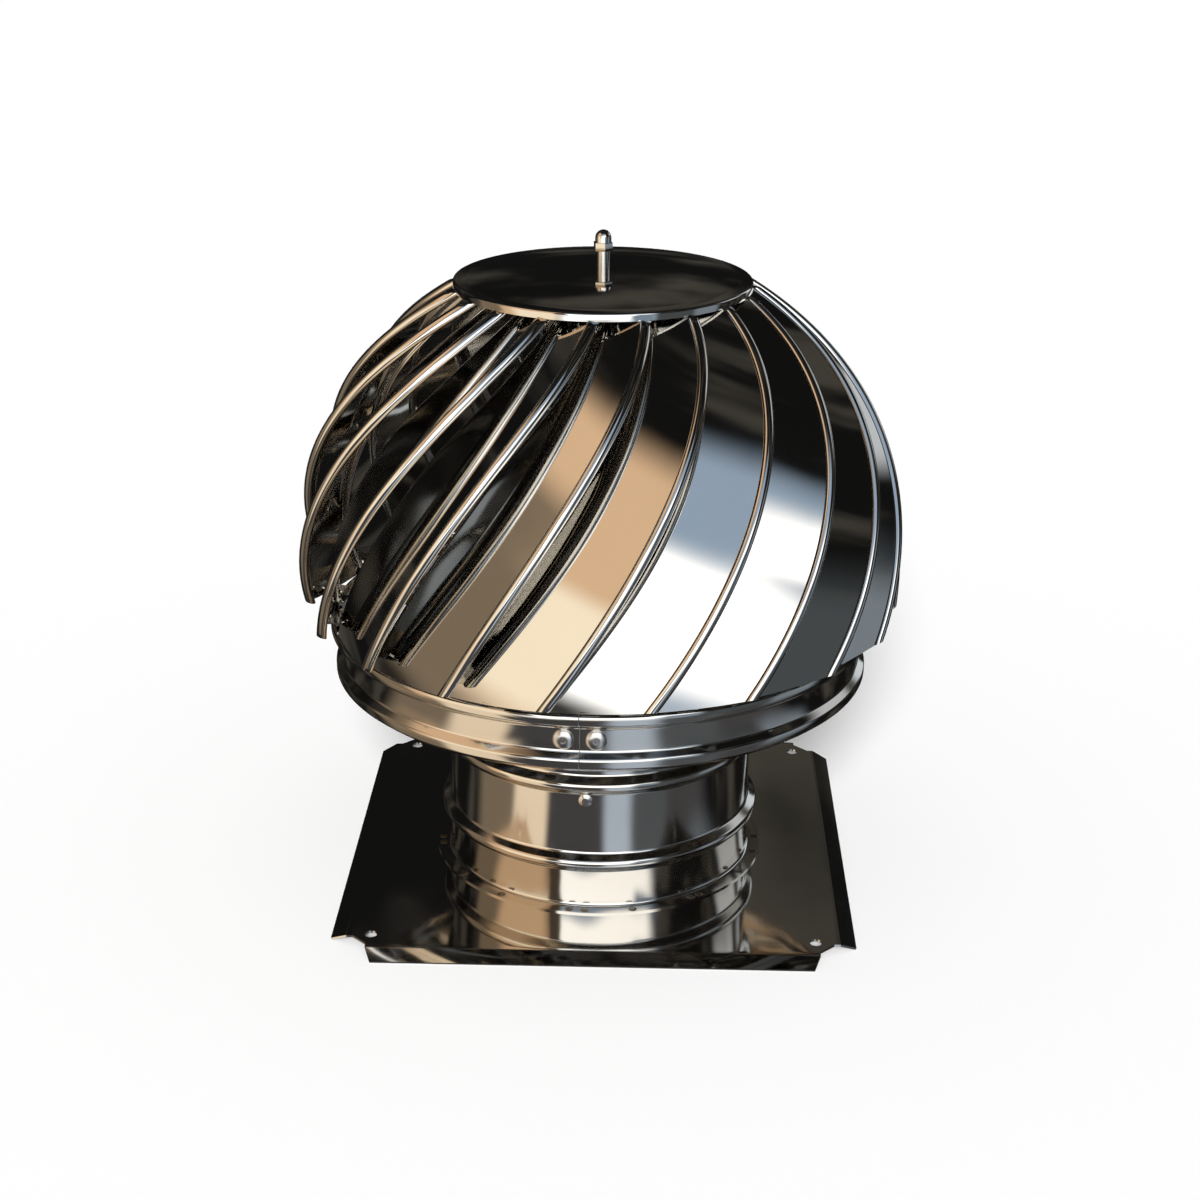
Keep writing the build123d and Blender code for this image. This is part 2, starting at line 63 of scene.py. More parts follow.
class Body(Enum):
    """The two rigid bodies of the part."""

    BASE = "base"
    ROTOR = "rotor"


class Slot(Enum):
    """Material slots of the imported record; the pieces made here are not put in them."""

    BRIGHT = "bright_stainless"
    PLAIN = "plain_stainless"


# ---------------------------------------------------------------- helpers


def linear(code: str) -> tuple[float, float, float, float]:
    """Turns an sRGB hex colour to linear.

    Args:
        code: Colour as "#RRGGBB".

    Returns:
        Linear red, green, blue and an alpha of one.
    """
    values = [int(code[start:start + 2], 16) / 255 for start in (1, 3, 5)]
    bent = [v / 12.92 if v <= 0.04045 else ((v + 0.055) / 1.055) ** 2.4 for v in values]
    return bent[0], bent[1], bent[2], 1.0


def span(low: float, high: float, count: int) -> list[float]:
    """Even steps from low to high, both included."""
    return [low + (high - low) * step / (count - 1) for step in range(count)]


def arc(
    centre: tuple[float, float], radius: float, start: float, stop: float, count: int
) -> Profile:
    """Points of an arc in a profile.

    Args:
        centre: Centre in the profile's plane.
        radius: Radius of the arc.
        start: First angle in degrees.
        stop: Last angle in degrees.
        count: Number of points.

    Returns:
        The points in order.
    """
    return [
        (centre[0] + radius * cos(radians(turn)), centre[1] + radius * sin(radians(turn)))
        for turn in span(start, stop, count)
    ]


def to_data(mesh: bmesh.types.BMesh, name: str) -> bpy.types.Mesh:
    """Moves a bmesh into a new mesh of that name, and frees it."""
    data = bpy.data.meshes.new(name)
    mesh.to_mesh(data)
    mesh.free()
    return data


def add_object(name: str, data: bpy.types.ID) -> bpy.types.Object:
    """Adds an object with its data to the scene."""
    made = bpy.data.objects.new(name, data)
    bpy.context.scene.collection.objects.link(made)
    return made


def finish_piece(
    mesh: bmesh.types.BMesh,
    name: str,
    material: bpy.types.Material,
    body: Body,
    replaced: tuple[str, ...] = (),
    crease: float = 38.0,
) -> bpy.types.Object:
    """Turns a bmesh in millimetres into a piece that rides on its body.

    Args:
        mesh: The finished bmesh, which is freed here.
        name: Name of the piece.
        material: Its finish.
        body: The body that it rides on.
        replaced: CAD nodes that the piece stands for.
        crease: Angle in degrees past which an edge is shaded sharp.

    Returns:
        The object.
    """
    bmesh.ops.scale(mesh, vec=(MM, MM, MM), verts=mesh.verts)
    data = to_data(mesh, name)
    data.shade_smooth()
    data.set_sharp_from_angle(angle=radians(crease))
    data.materials.append(material)
    piece = add_object(name, data)
    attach(piece, body.value)
    if replaced:
        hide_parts(*replaced)
    LOG.info("%s: %d faces on %s", name, len(data.polygons), body.value)
    return piece


def spun(outline: Profile, steps: int, start: float = 0.0, sweep: float = 360.0) -> bmesh.types.BMesh:
    """Spins a closed outline round the rotor's axis.

    Args:
        outline: Radius and height of the outline's points, in order round it.
        steps: Number of steps.
        start: Azimuth of the first section, degrees.
        sweep: Angle swept; under a full turn the ends are closed.

    Returns:
        A closed bmesh with outward normals.
    """
    mesh = bmesh.new()
    turn = Matrix.Rotation(radians(start), 3, "Z")
    points = [mesh.verts.new(turn @ Vector((radius, 0, height))) for radius, height in outline]
    section = mesh.faces.new(points)
    whole = sweep >= 360
    geometry = list(section.edges) if whole else [section]
    if whole:
        mesh.faces.remove(section)
    bmesh.ops.spin(
        mesh,
        geom=geometry + points,
        cent=(0, 0, 0),
        axis=(0, 0, 1),
        angle=radians(sweep),
        steps=steps,
        use_merge=whole,
        use_duplicate=False,
    )
    bmesh.ops.remove_doubles(mesh, verts=mesh.verts, dist=1e-4)
    bmesh.ops.recalc_face_normals(mesh, faces=mesh.faces)
    return mesh


def sheet_outline(edge: Profile, thickness: float) -> Profile:
    """Closes an open edge line into the section of a sheet.

    Args:
        edge: Points of the sheet's outer face.
        thickness: Thickness, laid off to the left of the line.

    Returns:
        The outline round both faces.
    """
    back = []
    for index, (x, y) in enumerate(edge):
        before = edge[max(index - 1, 0)]
        after = edge[min(index + 1, len(edge) - 1)]
        first = Vector((x - before[0], y - before[1])) if index else None
        last = Vector((after[0] - x, after[1] - y)) if index < len(edge) - 1 else None
        runs = [run.normalized() for run in (first, last) if run is not None]
        normals = [Vector((-run.y, run.x)) for run in runs]
        middle = sum(normals, Vector((0, 0))).normalized()
        reach = thickness / max(middle.dot(normals[0]), 0.5)
        back.append((x + middle.x * reach, y + middle.y * reach))
    return edge + back[::-1]


def rounded(corners: Profile, radii: list[float], count: int = 5) -> Profile:
    """Rounds the inner corners of an open line.

    Args:
        corners: The line's corner points.
        radii: A radius for each corner but the first and last; zero keeps it sharp.
        count: Points in each round.

    Returns:
        The rounded line.
    """
    line = [corners[0]]
    for index, radius in enumerate(radii, start=1):
        here = Vector(corners[index])
        back = (Vector(corners[index - 1]) - here).normalized()
        ahead = (Vector(corners[index + 1]) - here).normalized()
        half = acos(max(-1.0, min(1.0, back.dot(ahead)))) / 2
        if radius == 0 or half > radians(89):
            line.append(corners[index])
            continue
        reach = radius / max(sin(half), 1e-6)
        centre = here + (back + ahead).normalized() * reach
        start = here + back * (reach * cos(half))
        stop = here + ahead * (reach * cos(half))
        first = atan2(start.y - centre.y, start.x - centre.x)
        last = atan2(stop.y - centre.y, stop.x - centre.x)
        turn = (last - first + pi) % (2 * pi) - pi
        for step in span(0, 1, count):
            angle = first + turn * step
            line.append((centre.x + radius * cos(angle), centre.y + radius * sin(angle)))
    line.append(corners[-1])
    return line


# ---------------------------------------------------------------- finishes


def add_node(tree: bpy.types.NodeTree, kind: str, settings: dict, links: dict) -> bpy.types.Node:
    """Adds a node with its settings and links.

    Args:
        tree: The material's or world's node tree.
        kind: Type of the node, without its "ShaderNode".
        settings: Attributes by name, and input values by socket name in "inputs".
        links: Output sockets by the name or number of the input that they feed.

    Returns:
        The node.
    """
    node = tree.nodes.new(f"ShaderNode{kind}")
    for name, value in settings.items():
        if name == "inputs":
            for socket, number in value.items():
                node.inputs[socket].default_value = number
        else:
            setattr(node, name, value)
    for socket, source in links.items():
        tree.links.new(source, node.inputs[socket])
    return node


@dataclass(frozen=True)
class SheetMetal:
    """A bare metal surface: how it was rolled, polished or plated, and what that gives the eye."""

    name: str
    colour: str
    tint: str
    roughness: float
    roughness_spread: float
    wave_mm: float
    wave_depth_mm: float
    grain_mm: float
    grain_depth_mm: float
    grain_stretch: tuple[float, float, float] = (1.0, 1.0, 1.0)
    smudge_mm: float = 70.0
    smudge_span: tuple[float, float] = (0.35, 0.7)

    def build(self) -> bpy.types.Material:
        """Builds the metal's nodes.

        Returns:
            The material.
        """
        material = bpy.data.materials.new(self.name)
        material.use_nodes = True
        tree = material.node_tree
        shader = tree.nodes["Principled BSDF"]
        place = add_node(tree, "TexCoord", {}, {}).outputs["Object"]
        smudge = add_node(
            tree,
            "TexNoise",
            {"inputs": {"Scale": 1 / (self.smudge_mm * MM), "Detail": 4.0, "Roughness": 0.55}},
            {"Vector": place},
        )
        colour = add_node(tree, "Mix", {"data_type": "RGBA"}, {"Factor": smudge.outputs["Fac"]})
        colour.inputs[MIX_FIRST].default_value = linear(self.colour)
        colour.inputs[MIX_SECOND].default_value = linear(self.tint)
        dullness = add_node(
            tree,
            "MapRange",
            {
                "inputs": {
                    "From Min": self.smudge_span[0],
                    "From Max": self.smudge_span[1],
                    "To Min": self.roughness,
                    "To Max": self.roughness + self.roughness_spread,
                }
            },
            {"Value": smudge.outputs["Fac"]},
        )
        wave = add_node(
            tree,
            "TexNoise",
            {"inputs": {"Scale": 1 / (self.wave_mm * MM), "Detail": 1.0}},
            {"Vector": place},
        )
        stretch = {"inputs": {"Scale": self.grain_stretch}}
        grain_place = add_node(tree, "Mapping", stretch, {"Vector": place})
        grain = add_node(
            tree,
            "TexNoise",
            {"inputs": {"Scale": 1 / (self.grain_mm * MM), "Detail": 2.0}},
            {"Vector": grain_place.outputs["Vector"]},
        )
        swell = add_node(
            tree,
            "Bump",
            {"inputs": {"Strength": 1.0, "Distance": self.wave_depth_mm * MM}},
            {"Height": wave.outputs["Fac"]},
        )
        lines = add_node(
            tree,
            "Bump",
            {"inputs": {"Strength": 1.0, "Distance": self.grain_depth_mm * MM}},
            {"Height": grain.outputs["Fac"], "Normal": swell.outputs["Normal"]},
        )
        shader.inputs["Metallic"].default_value = 1.0
        tree.links.new(colour.outputs[MIX_RESULT], shader.inputs["Base Color"])
        tree.links.new(dullness.outputs["Result"], shader.inputs["Roughness"])
        tree.links.new(lines.outputs["Normal"], shader.inputs["Normal"])
        return material


# Bright-annealed stainless strip: a mirror with the faint swell of thin sheet bent cold.
BRIGHT_SHEET = SheetMetal(
    name="bright_annealed_stainless_sheet",
    colour="#DAD8D4",
    tint="#D2CFC9",
    roughness=0.035,
    roughness_spread=0.05,
    wave_mm=38.0,
    wave_depth_mm=0.10,
    grain_mm=1.6,
    grain_depth_mm=0.0006,
)
# The same strip spun on a lathe: its tool leaves rings; an even noise grain, coarser than they are,
# stands for them.
SPUN_SHEET = SheetMetal(
    name="spun_stainless_disc",
    colour="#D6D4D0",
    tint="#CBC8C2",
    roughness=0.05,
    roughness_spread=0.05,
    wave_mm=60.0,
    wave_depth_mm=0.05,
    grain_mm=1.2,
    grain_depth_mm=0.0004,
)
# Swaged and flanged sheet: the rollers leave it a little duller than the flat strip.
ROLLED_SHEET = SheetMetal(
    name="roll_formed_stainless_band",
    colour="#D8D5D0",
    tint="#C9C4BC",
    roughness=0.06,
    roughness_spread=0.08,
    wave_mm=30.0,
    wave_depth_mm=0.06,
    grain_mm=2.0,
    grain_depth_mm=0.001,
    grain_stretch=(0.35, 0.35, 3.0),
)
# Drawn stainless wire, headed cold: satin, with the marks of the setting tool.
DRAWN_STEEL = SheetMetal(
    name="cold_headed_stainless",
    colour="#CFCECB",
    tint="#B5B2AD",
    roughness=0.16,
    roughness_spread=0.12,
    wave_mm=3.0,
    wave_depth_mm=0.01,
    grain_mm=0.5,
    grain_depth_mm=0.002,
)
# Zinc plated and passivated mild steel: grey with a bluish cast and a soft sheen.
ZINC_STEEL = SheetMetal(
    name="zinc_plated_steel",
    colour="#A7ABAE",
    tint="#8F9496",
    roughness=0.34,
    roughness_spread=0.14,
    wave_mm=12.0,
    wave_depth_mm=0.02,
    grain_mm=0.8,
    grain_depth_mm=0.004,
)
# Through-hardened bearing steel, ground: a fine dark satin.
BEARING_STEEL = SheetMetal(
    name="ground_bearing_steel",
    colour="#9A9A9B",
    tint="#858586",
    roughness=0.24,
    roughness_spread=0.08,
    wave_mm=5.0,
    wave_depth_mm=0.005,
    grain_mm=0.4,
    grain_depth_mm=0.001,
)
# Spot-welded stainless: the heat leaves a straw to brown tint and a rough, sunk face.
WELD_SPOT = SheetMetal(
    name="spot_welded_stainless",
    colour="#A89C8A",
    tint="#6E655B",
    roughness=0.30,
    roughness_spread=0.2,
    wave_mm=2.0,
    wave_depth_mm=0.05,
    grain_mm=0.6,
    grain_depth_mm=0.02,
    smudge_mm=4.0,
)


@dataclass
class Finishes:
    """Every finish of the part, built once."""

    bright: bpy.types.Material = field(default_factory=BRIGHT_SHEET.build)
    spun: bpy.types.Material = field(default_factory=SPUN_SHEET.build)
    rolled: bpy.types.Material = field(default_factory=ROLLED_SHEET.build)
    drawn: bpy.types.Material = field(default_factory=DRAWN_STEEL.build)
    zinc: bpy.types.Material = field(default_factory=ZINC_STEEL.build)
    bearing: bpy.types.Material = field(default_factory=BEARING_STEEL.build)
    weld: bpy.types.Material = field(default_factory=WELD_SPOT.build)


# ---------------------------------------------------------------- blades


@dataclass
class BladeSet:
    """The slanted blades: each is a flat strip bent round one arc.

    The outer edge has a rolled bead. The inner edge is turned in and lies under the bead of
    the next blade.
    """

    head_radius: float = 145.5
    head_centre: float = 162.9
    count: int = 19
    start: float = -91.0
    sweep: float = 0.63
    set_latitudes: tuple[float, float, float] = (-12.0, 25.0, 61.0)
    slant: float = 31.0
    skew: float = 11.5
    overlap: float = 9.0
    top_overlap: float = 3.0
    foot_overlap: float = 10.0
    top_fade: tuple[float, float] = (24.0, 46.0)
    foot_fade: tuple[float, float] = (-9.0, -26.0)
    search: tuple[float, float, float] = (-40.0, 20.0, 75.0)
    sheet: float = 0.7
    bead_radius: float = 2.4
    bead_drop: float = 0.55
    bead_start: float = 355.0
    bead_points: int = 22
    web_clear: float = 0.6
    web_points: int = 9
    roll_turn: tuple[float, float] = (10.0, 90.0)
    roll_points: tuple[int, int] = (7, 5)
    inner_roll: float = 2.6
    inner_flange: float = 0.8
    ledge: float = 130.4
    ledge_edge: float = 129.5
    tip_rise: float = 7.1
    top: float = 292.0
    lip_level: float = 289.6
    lip_radius: float = 68.4
    tab: tuple[float, float, float] = (8.0, 7.0, 0.7)
    tab_lines: tuple[int, int] = (24, 27)
    rows: int = 72

    def __post_init__(self) -> None:
        """Works out the cylinder that the strip is bent on."""
        point, outward, along, inward = self.edge_frame(self.set_latitudes[1])
        slant, skew = radians(self.slant), radians(self.skew)
        dive = inward * cos(slant) - outward * sin(slant)
        self.ruling = dive * cos(skew) + along * sin(skew)
        across = (along - self.ruling * along.dot(self.ruling)).normalized()
        self.bend_axes = (across, self.ruling.cross(across))
        self.origin = point
        self.face = self.ruling.cross(along).normalized()
        self.plane_axes = (along, self.face.cross(along))
        places = [self.to_bend(self.edge_frame(latitude)[0]) for latitude in self.set_latitudes]
        self.centre = self.circle_centre(*places)
        self.bend_radius = (places[0] - self.centre).length

    def edge_frame(self, latitude: float) -> tuple[Vector, Vector, Vector, Vector]:
        """Gives the outer edge at a latitude of the head's sphere.

        Args:
            latitude: Degrees above the sphere's equator.

        Returns:
            The point and its outward, along-edge and inward directions.
        """
        lat, turn = radians(latitude), radians(self.start + self.sweep * latitude)
        outward = Vector((cos(lat) * cos(turn), cos(lat) * sin(turn), sin(lat)))
        along = Vector((
            -sin(lat) * cos(turn) - self.sweep * cos(lat) * sin(turn),
            -sin(lat) * sin(turn) + self.sweep * cos(lat) * cos(turn),
            cos(lat),
        )).normalized()
        point = outward * self.head_radius + Vector((0, 0, self.head_centre))
        return point, outward, along, outward.cross(along)

    def to_bend(self, point: Vector) -> Vector:
        """Place of a point across the rulings."""
        offset = point - self.origin
        return Vector([offset.dot(axis) for axis in self.bend_axes])

    @staticmethod
    def circle_centre(first: Vector, second: Vector, third: Vector) -> Vector:
        """Centre of the circle through three points of a plane."""
        p, q = second - first, third - first
        double = 2 * (p.x * q.y - p.y * q.x)
        x = (q.y * p.length_squared - p.y * q.length_squared) / double
        y = (p.x * q.length_squared - q.x * p.length_squared) / double
        return first + Vector((x, y))

    @staticmethod
    def fade(latitude: float, ends: tuple[float, float]) -> float:
        """Share of a fade that is reached at a latitude, from zero to one."""
        return min(max((latitude - ends[0]) / (ends[1] - ends[0]), 0), 1)

    def width(self, latitude: float) -> float:
        """Width of the sheet at a latitude, with what lies under the next blade's bead."""
        lat = radians(latitude)
        lean = cos(atan(self.sweep * cos(lat)))
        pitch = self.head_radius * cos(lat) * 2 * pi / self.count * lean
        top = self.fade(latitude, self.top_fade)
        foot = self.fade(latitude, self.foot_fade) ** 2
        overlap = self.overlap - top * (self.overlap - self.top_overlap)
        return pitch + overlap + foot * (self.foot_overlap - self.overlap)

    def surface(self, latitude: float, share: float, rise: float) -> Vector:
        """Gives a point of the bent strip.

        Args:
            latitude: Latitude of the outer edge that the point is laid off from.
            share: Distance in from the outer edge.
            rise: Height over the sheet's middle surface, outwards.

        Returns:
            The point in millimetres.
        """
        point, _, along, _ = self.edge_frame(latitude)
        across = (self.ruling - along * self.ruling.dot(along)).normalized()
        offset = point + across * share - self.origin
        flat = self.origin + sum((axis * offset.dot(axis) for axis in self.plane_axes), Vector())
        start = self.to_bend(flat) - self.centre
        step = Vector([self.face.dot(axis) for axis in self.bend_axes])
        half = start.dot(step)
        gap = sqrt(half * half - start.length_squared + (self.bend_radius + rise) ** 2)
        return flat + self.face * min((-half + gap, -half - gap), key=abs)

    def outside(self, point: Vector) -> float:
        """Distance past the cuts at the disc and the ring; below zero inside them."""
        radius = hypot(point.x, point.y)
        top = max(point.z - self.top, min(point.z - self.lip_level, radius - self.lip_radius))
        slope = self.tip_rise / (self.head_radius - self.ledge_edge)
        floor = self.ledge + max(radius - self.ledge_edge, 0) * slope
        return max(top, floor - point.z)

    def cut(
        self, inside: float, past: float, share: Callable[[float], float], rise: float
    ) -> float:
        """Finds the latitude where a line of the sheet meets a cut, by bisection.

        Args:
            inside: A latitude between the cuts.
            past: A latitude past the cut.
            share: Distance in from the outer edge at a latitude.
            rise: Height over the middle surface.

        Returns:
            The latitude of the cut.
        """
        for _ in range(24):
            middle = (inside + past) / 2
            if self.outside(self.surface(middle, share(middle), rise)) < 0:
                inside = middle
            else:
                past = middle
        return inside

    def section(self) -> list[tuple[Callable[[float], float], float]]:
        """Lines of the sheet round its section, as distances from the outer edge and heights.

        Returns:
            Pairs of a share function and a height, in order round the section.
        """
        half, clear = self.sheet / 2, self.web_clear
        bead, drop = self.bead_radius, self.bead_drop
        hem = 2 * bead + clear
        roll, inner = self.inner_roll, self.inner_roll - self.sheet
        foot = half - roll - self.inner_flange
        first, last = map(radians, self.roll_turn)

        def near(distance: float) -> Callable[[float], float]:
            """Line at a distance in from the outer edge."""
            return lambda latitude: distance

        def web(part: float) -> Callable[[float], float]:
            """Line at a share of the way from the bead to the roll."""
            return lambda latitude: hem + part * (self.width(latitude) - roll - hem - clear)

        def back(distance: float) -> Callable[[float], float]:
            """Line at a distance back from the inner edge."""
            return lambda latitude: self.width(latitude) - distance

        closed = asin((half + drop) / bead)
        lines = [
            (near(bead + bead * cos(turn)), bead * sin(turn) - drop)
            for turn in span(radians(self.bead_start), closed, self.bead_points)
        ]
        lines += [(web(part), half) for part in span(0, 1, self.web_points)]
        for turn in span(first, last, self.roll_points[0]):
            lines.append((back(roll - roll * sin(turn)), half - roll * (1 - cos(turn))))
        lines += [(back(0.0), foot), (back(self.sheet), foot)]
        for turn in span(last, first, self.roll_points[1]):
            lines.append((back(roll - inner * sin(turn)), half - roll + inner * cos(turn)))
        lines += [(web(part), -half) for part in span(1, 0, self.web_points)]
        return lines

    def blade_mesh(self) -> bmesh.types.BMesh:
        """Bends a grid into one closed blade with its two tabs.

        Returns:
            The first blade, in millimetres.
        """
        lines = self.section()
        mesh = bmesh.new()
        bmesh.ops.create_grid(mesh, x_segments=self.rows, y_segments=len(lines), size=1.0)
        below, inside, above = self.search
        limits = [
            (self.cut(inside, below, share, rise), self.cut(inside, above, share, rise))
            for share, rise in lines
        ]
        ends: dict[tuple[int, int], Vector] = {}
        for vertex in mesh.verts:
            row = round((vertex.co.x + 1) / 2 * self.rows)
            column = round((vertex.co.y + 1) / 2 * len(lines)) % len(lines)
            low, high = limits[column]
            latitude = low + (high - low) * row / self.rows
            share, rise = lines[column]
            vertex.co = self.surface(latitude, share(latitude), rise)
            if row in (0, self.rows):
                ends[row, column] = vertex.co.copy()
        bmesh.ops.remove_doubles(mesh, verts=mesh.verts, dist=1e-3)
        rims = [edge for edge in mesh.edges if edge.is_boundary]
        bmesh.ops.holes_fill(mesh, edges=rims, sides=0)
        bmesh.ops.recalc_face_normals(mesh, faces=mesh.faces)
        first, last = self.tab_lines
        for row in (self.rows, 0):
            self.add_tab(mesh, ends[row, first], ends[row, last])
        return mesh

    def add_tab(self, mesh: bmesh.types.BMesh, first: Vector, last: Vector) -> None:
        """Adds a flat tab that is bent inwards from the sheet's cut end.

        Args:
            mesh: The blade.
            first: One point of the cut.
            last: Another point of the cut.
        """
        middle = (first + last) / 2
        along = Vector((last.x - first.x, last.y - first.y, 0)).normalized()
        inward = Vector((-along.y, along.x, 0))
        if inward.dot(middle) > 0:
            inward = -inward
        width, depth, sheet = self.tab
        turn = Matrix((along, inward, along.cross(inward))).transposed().to_4x4()
        size = Matrix.Diagonal((width, depth, sheet, 1))
        place = Matrix.Translation(middle + inward * (depth / 2) + Vector((0, 0, sheet / 2)))
        bmesh.ops.create_cube(mesh, size=1.0, matrix=place @ turn @ size)

    def build(self, finish: bpy.types.Material) -> None:
        """Builds every blade in place of its CAD node."""
        first = self.blade_mesh()
        for index in range(self.count):
            mesh = first.copy()
            turn = Matrix.Rotation(2 * pi / self.count * index, 3, "Z")
            bmesh.ops.rotate(mesh, cent=(0, 0, 0), matrix=turn, verts=mesh.verts)
            node = f"blade_{index + 1:02d}"
            finish_piece(
                mesh, f"hemmed_{node}", finish, Body.ROTOR, (node,), crease=50.0
            )
        first.free()


# ---------------------------------------------------------------- rotor


@dataclass
class TopDisc:
    """Spun disc that closes the head, with a crowned middle and a turned-down edge."""

    radius: float = 69.6
    sheet: float = 0.8
    lip: float = 290.0
    level: float = 293.7
    edge_round: float = 1.2
    crown: float = 4.8
    crown_radius: float = 66.0
    crown_power: float = 2.4
    crown_points: int = 22
    bore: float = 3.05
    lip_end: float = 0.6
    steps: int = 144

    def outline(self) -> Profile:
        """Section of the disc."""
        middle = (self.radius - self.edge_round, self.level - self.edge_round)
        corner = arc(middle, self.edge_round, 0, 90, 6)
        line = [(self.radius, self.lip), (self.radius, self.lip + self.lip_end)] + corner
        for radius in span(self.crown_radius, self.bore, self.crown_points):
            rise = self.crown * (1 - (radius / self.crown_radius) ** self.crown_power)
            line.append((radius, self.level + rise))
        return sheet_outline(line, self.sheet)

    def build(self, finish: bpy.types.Material) -> None:
        """Builds the disc in place of its CAD node."""
        mesh = spun(self.outline(), self.steps)
        finish_piece(mesh, "spun_top_disc", finish, Body.ROTOR, ("top_disc",))


@dataclass
class Axle:
    """Turned axle with its plain stud over the disc, and the cap nut on the stud."""

    shaft: float = 4.0
    stud: float = 3.0
    thread: float = 2.5
    foot: float = 27.4
    shoulder: float = 297.7
    stud_top: float = 306.5
    thread_reach: float = 6.5
    chamfer: float = 0.8
    nut_flats: float = 8.0
    nut_height: float = 9.6
    nut_hex: float = 4.0
    nut_turn: float = 12.0
    nut_bevel: float = 0.35
    dome: float = 3.75
    dome_sunk: float = 0.3
    steps: int = 48

    def build(self, steel: bpy.types.Material, bright: bpy.types.Material) -> None:
        """Builds the axle and the cap nut in place of their CAD nodes.

        Args:
            steel: Finish of the axle.
            bright: Finish of the cap nut.
        """
        tip = self.stud_top + self.thread_reach
        outline = [
            (0, self.foot),
            (self.shaft - self.chamfer, self.foot),
            (self.shaft, self.foot + self.chamfer),
            (self.shaft, self.shoulder),
            (self.stud, self.shoulder),
            (self.stud, self.stud_top),
            (self.thread, self.stud_top),
            (self.thread, tip),
            (0, tip),
        ]
        shaft = spun(outline, self.steps)
        finish_piece(shaft, "turned_axle", steel, Body.ROTOR, ("axle",))
        nut = self.cap_nut_mesh()
        finish_piece(nut, "domed_cap_nut", bright, Body.ROTOR, ("cap_nut",), crease=30)

    def cap_nut_mesh(self) -> bmesh.types.BMesh:
        """Builds the hexagon with its chamfered corners, and the dome on it."""
        centre = self.stud_top + self.nut_height - self.dome
        floor = self.stud_top + self.dome_sunk
        dome = [(0.0, floor), (self.dome, floor)]
        dome += arc((0, centre), self.dome, 0, 90, 12)
        mesh = spun(dome, self.steps)
        corner = self.nut_flats / 2 / cos(pi / 6)
        made = bmesh.ops.create_cone(
            mesh,
            cap_ends=True,
            segments=6,
            radius1=corner,
            radius2=corner,
            depth=self.nut_hex,
            matrix=Matrix.Translation((0, 0, self.stud_top + self.nut_hex / 2))
            @ Matrix.Rotation(radians(self.nut_turn), 4, "Z"),
        )
        rims = {edge for vertex in made["verts"] for edge in vertex.link_edges}
        level = [edge for edge in rims if abs(edge.verts[0].co.z - edge.verts[1].co.z) < 1e-4]
        bmesh.ops.bevel(
            mesh,
            geom=level,
            offset=self.nut_bevel,
            affect="EDGES",
            segments=2,
            profile=0.5,
            material=-1,
        )
        return mesh


@dataclass
class Ring:
    """Roll-formed band that carries the blades' feet, closed by a strap and two blind rivets."""

    corners: tuple[tuple[float, float], ...] = (
        (126.2, 101.4),
        (129.5, 104.0),
        (129.5, 108.0),
        (126.2, 110.8),
        (126.2, 122.0),
        (131.5, 125.4),
        (131.5, 130.4),
        (118.5, 130.4),
    )
    rounds: tuple[float, ...] = (1.4, 1.8, 1.6, 1.6, 1.4, 1.9)
    sheet: float = 0.8
    seam: float = -92.6
    gap: float = 0.4
    steps: int = 240
    rivet_pitch: float = 14.6
    rivet_level: float = 116.4
    rivet_head: float = 4.75
    rivet_dome: float = 1.7
    rivet_brim: float = 0.25
    rivet_seat: float = -0.02
    rivet_shank: tuple[float, float] = (2.4, -4.2)
    rivet_pit: tuple[tuple[float, float], ...] = ((1.5, 1.6), (1.35, 1.2), (0.9, 1.15), (0, 1.35))
    rivet_steps: int = 40

    def build(self, band: bpy.types.Material, rivet: bpy.types.Material) -> None:
        """Builds the band and the rivets in place of their CAD nodes.

        Args:
            band: Finish of the band.
            rivet: Finish of the rivets.
        """
        outline = sheet_outline(rounded(list(self.corners), list(self.rounds)), self.sheet)
        opened = degrees(self.gap / self.corners[0][0])
        mesh = spun(outline, self.steps, self.seam + opened / 2, 360 - opened)
        finish_piece(mesh, "rolled_ring_band", band, Body.ROTOR, ("ring_band",))
        rivets = bmesh.new()
        wall = self.corners[3][0]
        for side in (-0.5, 0.5):
            turn = radians(self.seam) + side * self.rivet_pitch / wall
            head = self.rivet_mesh()
            place = Matrix.Translation((wall * cos(turn), wall * sin(turn), self.rivet_level))
            lean = Matrix.Rotation(turn, 4, "Z") @ Matrix.Rotation(radians(90), 4, "Y")
            bmesh.ops.transform(head, matrix=place @ lean, verts=head.verts)
            shape = to_data(head, "rivet_shape")
            rivets.from_mesh(shape)
            bpy.data.meshes.remove(shape)
        finish_piece(rivets, "blind_rivet_pair", rivet, Body.ROTOR, ("ring_rivets",))

    def rivet_mesh(self) -> bmesh.types.BMesh:
        """Spins a blind rivet: low dome, pit of the broken mandrel, and shank."""
        brim, rise = self.rivet_brim, self.rivet_dome - self.rivet_brim
        shank, depth = self.rivet_shank
        outline = [(0, depth), (shank, depth), (shank, self.rivet_seat)]
        outline.append((self.rivet_head, self.rivet_seat))
        for turn in span(0, radians(70), 8):
            outline.append((self.rivet_head * cos(turn), brim + rise * sin(turn)))
        return spun(outline + list(self.rivet_pit), self.rivet_steps)


# ---------------------------------------------------------------- base


